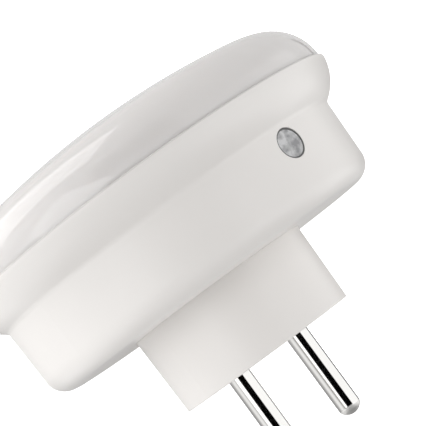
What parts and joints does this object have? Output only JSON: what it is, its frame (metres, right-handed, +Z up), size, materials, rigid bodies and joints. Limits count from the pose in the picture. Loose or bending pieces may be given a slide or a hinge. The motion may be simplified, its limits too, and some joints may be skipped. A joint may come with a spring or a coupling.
{
  "type": "plug-in night light",
  "caption": "Round plug-in night light: white flared housing, domed translucent cover, light sensor window in the side and a round plug block with two contact pins.",
  "frame": {"origin": "centre of the plug block's contact face, the face that lies against the socket", "axes": "+Y along the contact pins into the socket, so the domed cover faces -Y; +Z up to the sensor window; the two pins lie on the X axis"},
  "size_m": [0.0864, 0.0745, 0.0864],
  "materials": {
    "housing_white": "glossy warm white moulded plastic",
    "block_white": "satin to glossy warm white moulded plastic",
    "pin_nickel": "polished nickel plate on brass",
    "inner_plastic": "plain moulded insulating plastic",
    "screw_steel": "zinc-plated steel",
    "sleeve_black": "shrunk insulating sleeve",
    "wire_brown": "wire insulation",
    "wire_blue": "wire insulation",
    "board_white": "white solder mask on glass-fibre board",
    "solder": "bright solder",
    "capacitor_yellow": "moulded capacitor case",
    "capacitor_black": "shrunk sleeve on a capacitor can",
    "resistor_green": "flameproof resistor coating",
    "resistor_tan": "resistor coating",
    "diode_black": "moulded epoxy",
    "zener_orange": "glass diode body",
    "led_white": "white light source package",
    "phosphor_yellow": "phosphor gel",
    "chip_black": "chip resistor glaze",
    "reflector_white": "bright white moulded reflector",
    "cover_opal": "very glossy milky translucent plastic",
    "window_clear": "clear moulded plastic lens",
    "ring_black": "dark sealing ring",
    "shroud_black": "opaque moulded plastic",
    "photocell_ceramic": "ceramic photocell disc",
    "track_red": "photosensitive track",
    "lead_tinned": "tinned wire"
  },
  "bodies": {
    "root": {"rear_housing": "housing_white", "plug_body": "block_white", "pin_left": "pin_nickel", "pin_right": "pin_nickel", "pin_retainer_plate": "inner_plastic", "retainer_screw": "screw_steel", "tail_sleeves": "sleeve_black", "live_lead": "wire_brown", "neutral_lead": "wire_blue", "housing_screws": "screw_steel", "main_board": "board_white", "board_screws": "screw_steel", "solder_joints": "solder", "film_capacitor": "capacitor_yellow", "smoothing_capacitor": "capacitor_black", "fusible_resistor": "resistor_green", "bleed_resistors": "resistor_tan", "rectifier_diodes": "diode_black", "zener_diode": "zener_orange", "switching_transistor": "diode_black", "led_packages": "led_white", "led_phosphors": "phosphor_yellow", "chip_resistors": "chip_black", "reflector": "reflector_white", "diffuser_cover": "cover_opal", "sensor_window": "window_clear", "window_ring": "ring_black", "sensor_shroud": "shroud_black", "photocell_body": "photocell_ceramic", "photocell_track": "track_red", "photocell_leads": "lead_tinned"}
  },
  "joints": []
}
